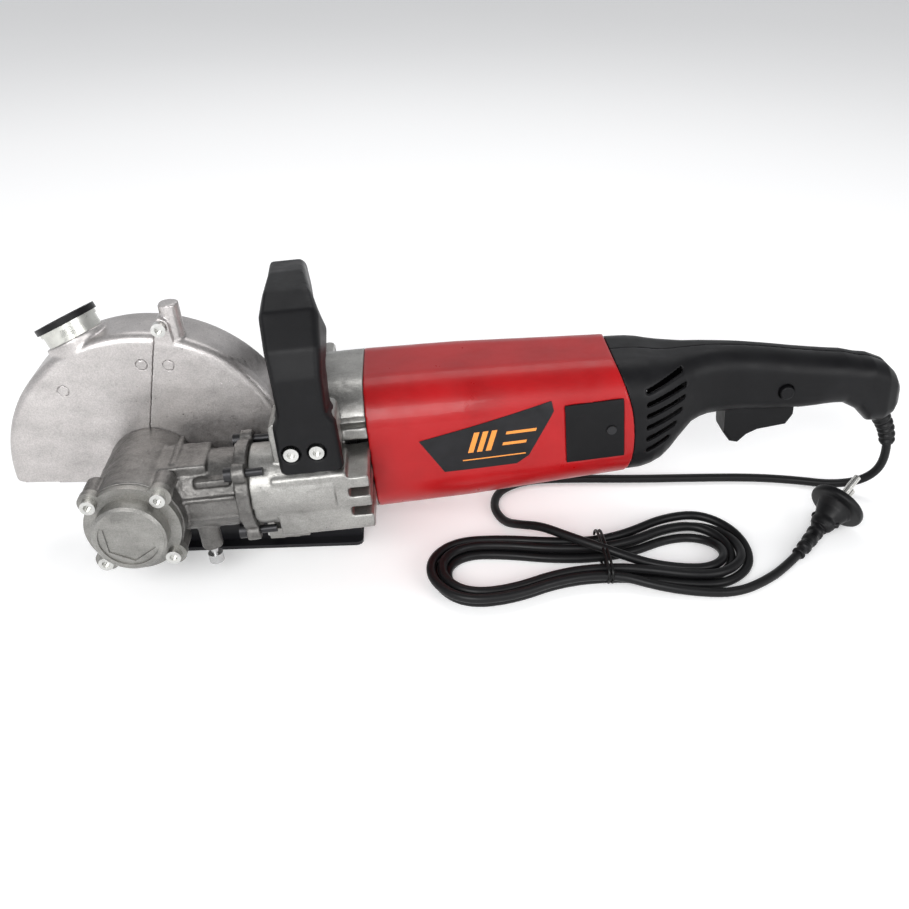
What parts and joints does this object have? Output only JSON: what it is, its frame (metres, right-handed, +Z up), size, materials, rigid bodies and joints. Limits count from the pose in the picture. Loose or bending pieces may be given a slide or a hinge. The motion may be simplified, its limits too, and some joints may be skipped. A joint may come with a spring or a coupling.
{
  "type": "wall chaser",
  "caption": "Corded wall chaser with half-moon blade guard, dust port, bow front handle, motor housing, trigger handle and hinged depth shoe.",
  "frame": {"origin": "on the spindle axis, in the middle plane between the blade flanges", "axes": "+X to the rear handle, +Y along the spindle away from the gear head, +Z up with the shoe sole level"},
  "size_m": [0.5915, 0.1856, 0.1857],
  "materials": {
    "red_plastic": "satin moulded red plastic",
    "black_plastic": "fine-grained moulded black plastic",
    "label_film": null,
    "cast_aluminium": "speckled die-cast aluminium",
    "dark_casting": "rough dark sand-cast aluminium with machined edges",
    "guard_casting": "satin cast aluminium",
    "turned_metal": "bright turned metal",
    "black_rubber": "matte black rubber",
    "tie_cord": "black plastic tie",
    "black_steel": "black painted sheet steel",
    "zinc_steel": "zinc-plated steel",
    "ground_steel": "ground steel",
    "laminated_steel": "stacked laminations",
    "copper": "enamelled copper",
    "fan_plastic": "moulded fan",
    "carbon": "pressed carbon",
    "plated_brass": "nickel-plated brass"
  },
  "bodies": {
    "frame": {"motor_housing": "red_plastic", "rear_handle_near": "black_plastic", "rear_handle_far": "black_plastic", "brush_covers": "black_plastic", "bow_handle": "black_plastic", "switch_body": "black_plastic", "fan_baffle": "black_plastic", "brush_holders": "black_plastic", "label_plate": "label_film", "front_casting": "cast_aluminium", "gear_head": "dark_casting", "bearing_cap": "dark_casting", "guard_front": "guard_casting", "guard_rear": "guard_casting", "dust_port": "turned_metal", "dust_port_ring": "black_rubber", "strain_relief": "black_rubber", "power_cord": "black_rubber", "cord_hank": "black_rubber", "plug_body": "black_rubber", "cord_tie": "tie_cord", "cap_screws": "zinc_steel", "flange_screws": "zinc_steel", "bow_screws": "zinc_steel", "guard_lug_screw": "zinc_steel", "handle_screws": "zinc_steel", "brush_cover_screws": "zinc_steel", "shoe_bracket": "zinc_steel", "shoe_pivot_bolt": "zinc_steel", "trigger_pin": "zinc_steel", "idler_axle": "ground_steel", "spindle_bearing": "ground_steel", "spindle_end_bearing": "ground_steel", "layshaft_bearings": "ground_steel", "motor_bearings": "ground_steel", "brush_springs": "ground_steel", "stator_core": "laminated_steel", "field_coils": "copper", "carbon_brushes": "carbon", "plug_pins": "plated_brass"},
    "armature": {"armature_shaft": "ground_steel", "motor_pinion": "ground_steel", "armature_core": "laminated_steel", "armature_windings": "copper", "commutator": "copper", "cooling_fan": "fan_plastic"},
    "idler": {"idler_gear": "ground_steel"},
    "layshaft_body": {"layshaft": "ground_steel", "layshaft_gear": "ground_steel", "bevel_pinion": "ground_steel"},
    "spindle_body": {"spindle": "ground_steel", "bevel_gear": "ground_steel", "inner_flange": "ground_steel", "outer_flange": "ground_steel", "spindle_nut": "zinc_steel"},
    "trigger_body": {"trigger": "black_plastic"},
    "lock_button_body": {"lock_button": "black_plastic"},
    "shoe": {"base_shoe": "black_steel"},
    "spindle_lock": {"spindle_lock_pin": "ground_steel"}
  },
  "joints": [
    {"name": "armature_spin", "type": "hinge", "parent": "frame", "child": "armature", "pos_m": [0.14945, 0.005, 0.01281], "axis": [0.9963, 0, 0.0854], "continuous": true},
    {"name": "idler_spin", "type": "hinge", "parent": "frame", "child": "idler", "pos_m": [0.10707, -0.02147, 0.00381], "axis": [0.9963, 0, 0.0854], "continuous": true},
    {"name": "layshaft_spin", "type": "hinge", "parent": "frame", "child": "layshaft_body", "pos_m": [0.05978, -0.052, 0.00513], "axis": [0.9963, 0, 0.0854], "continuous": true},
    {"name": "spindle_spin", "type": "hinge", "parent": "frame", "child": "spindle_body", "pos_m": [0, 0, 0], "axis": [0, 1, 0], "continuous": true},
    {"name": "trigger_pull", "type": "hinge", "parent": "frame", "child": "trigger_body", "pos_m": [0.41444, 0.005, 0.03603], "axis": [0, 1, 0], "range_deg": [0, 6], "stiffness_Nm_per_rad": 0.9, "springref_deg": -8.59},
    {"name": "lock_press", "type": "slide", "parent": "frame", "child": "lock_button_body", "axis": [0, 1, 0], "range_m": [0, 0.002], "stiffness_N_per_m": 600, "springref_m": -0.002},
    {"name": "shoe_depth", "type": "hinge", "parent": "frame", "child": "shoe", "pos_m": [0.072, -0.024, -0.047], "axis": [0, 1, 0], "range_deg": [0, 5.5]},
    {"name": "spindle_lock_press", "type": "slide", "parent": "frame", "child": "spindle_lock", "axis": [-0.0854, 0, 0.9963], "range_m": [0, 0.004], "stiffness_N_per_m": 500, "springref_m": -0.003}
  ],
  "couplings": [
    {"joint": "idler_spin", "follows": "armature_spin", "ratio": -0.58824},
    {"joint": "layshaft_spin", "follows": "armature_spin", "ratio": 0.71429},
    {"joint": "spindle_spin", "follows": "armature_spin", "ratio": -0.27473}
  ]
}
